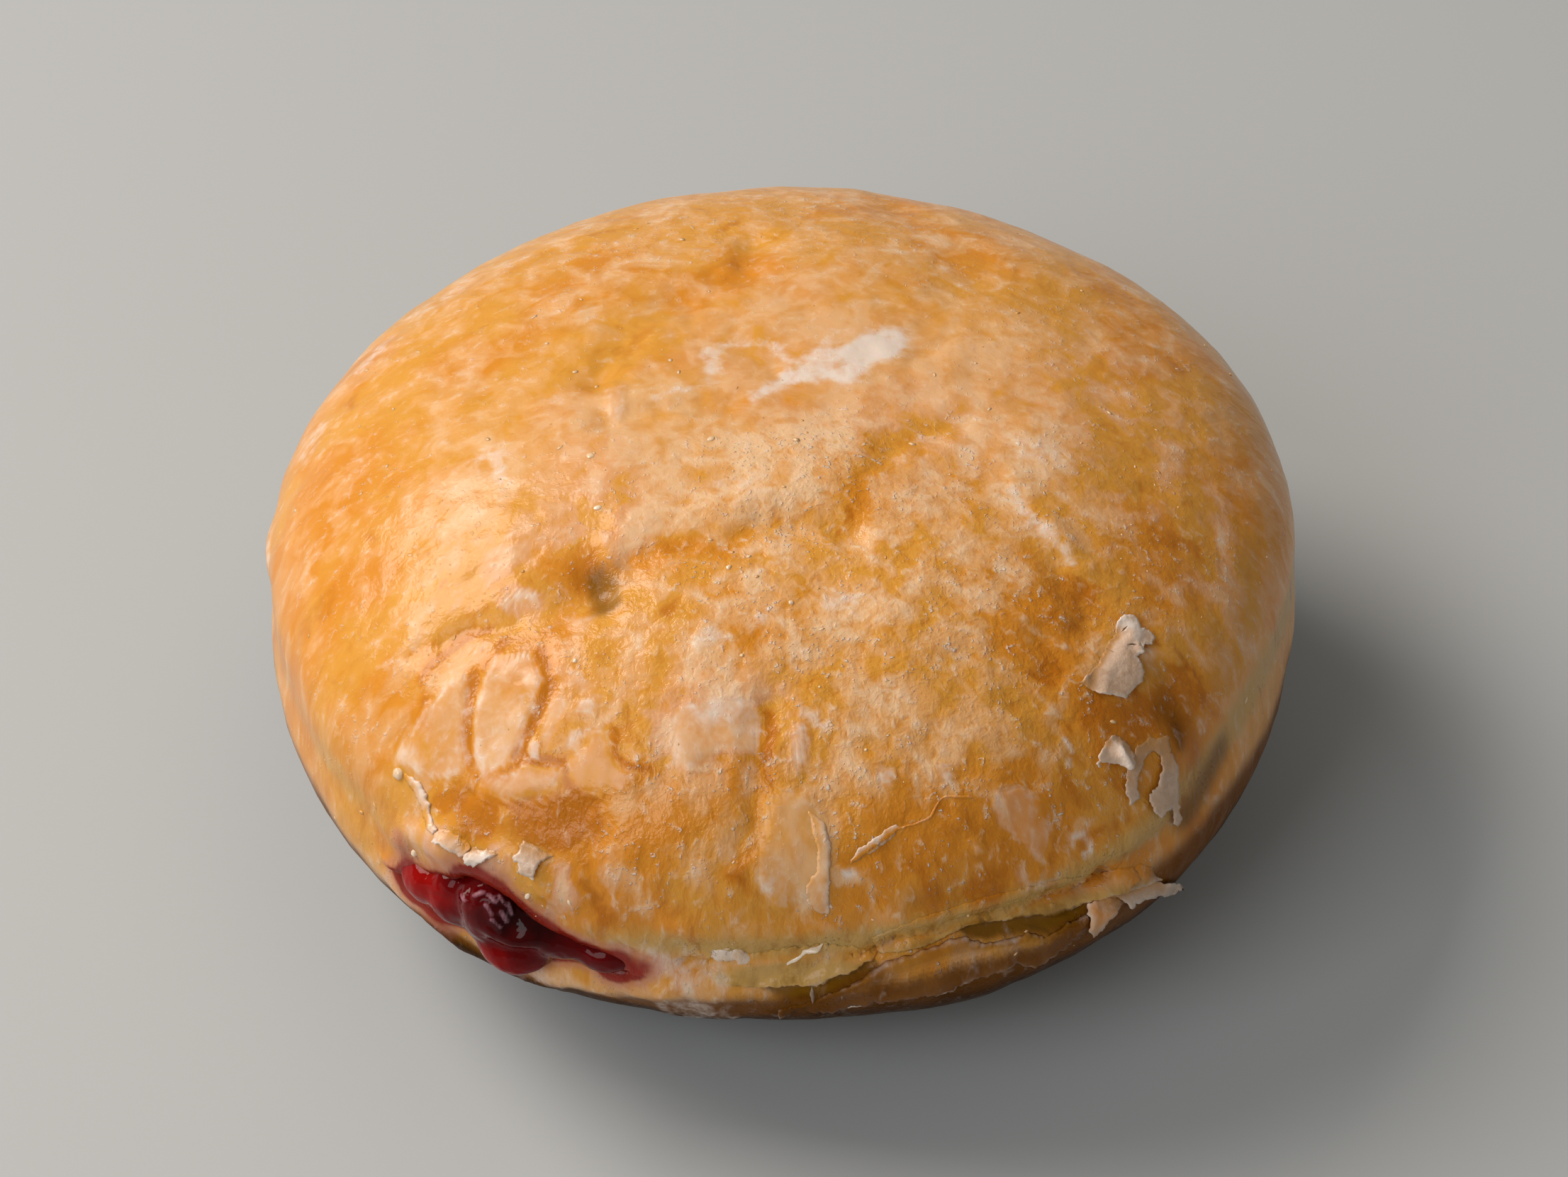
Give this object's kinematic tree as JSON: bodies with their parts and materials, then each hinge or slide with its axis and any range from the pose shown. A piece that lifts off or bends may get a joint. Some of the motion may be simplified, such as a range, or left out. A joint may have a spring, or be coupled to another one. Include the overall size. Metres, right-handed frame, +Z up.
{
  "type": "jam doughnut",
  "caption": "Round yeast doughnut with a thin cracked sugar glaze, a pale band round its waist, and dark red jam swelling out of a mouth low at one side.",
  "frame": {"origin": "centre of the bounding box on the surface that the doughnut rests on", "axes": "+Z up through the domed top; -Y towards the front, with the jam at the front left, 28 degrees left of -Y; +X to the right seen from the front"},
  "size_m": [0.0914, 0.0915, 0.0458],
  "materials": {
    "dough": "golden fried dough under a thin, half-clear sugar glaze that has cracked into flakes",
    "jam": "wet dark red fruit jam"
  },
  "bodies": {
    "root": {"dough": "dough", "jam": "jam"}
  },
  "joints": []
}
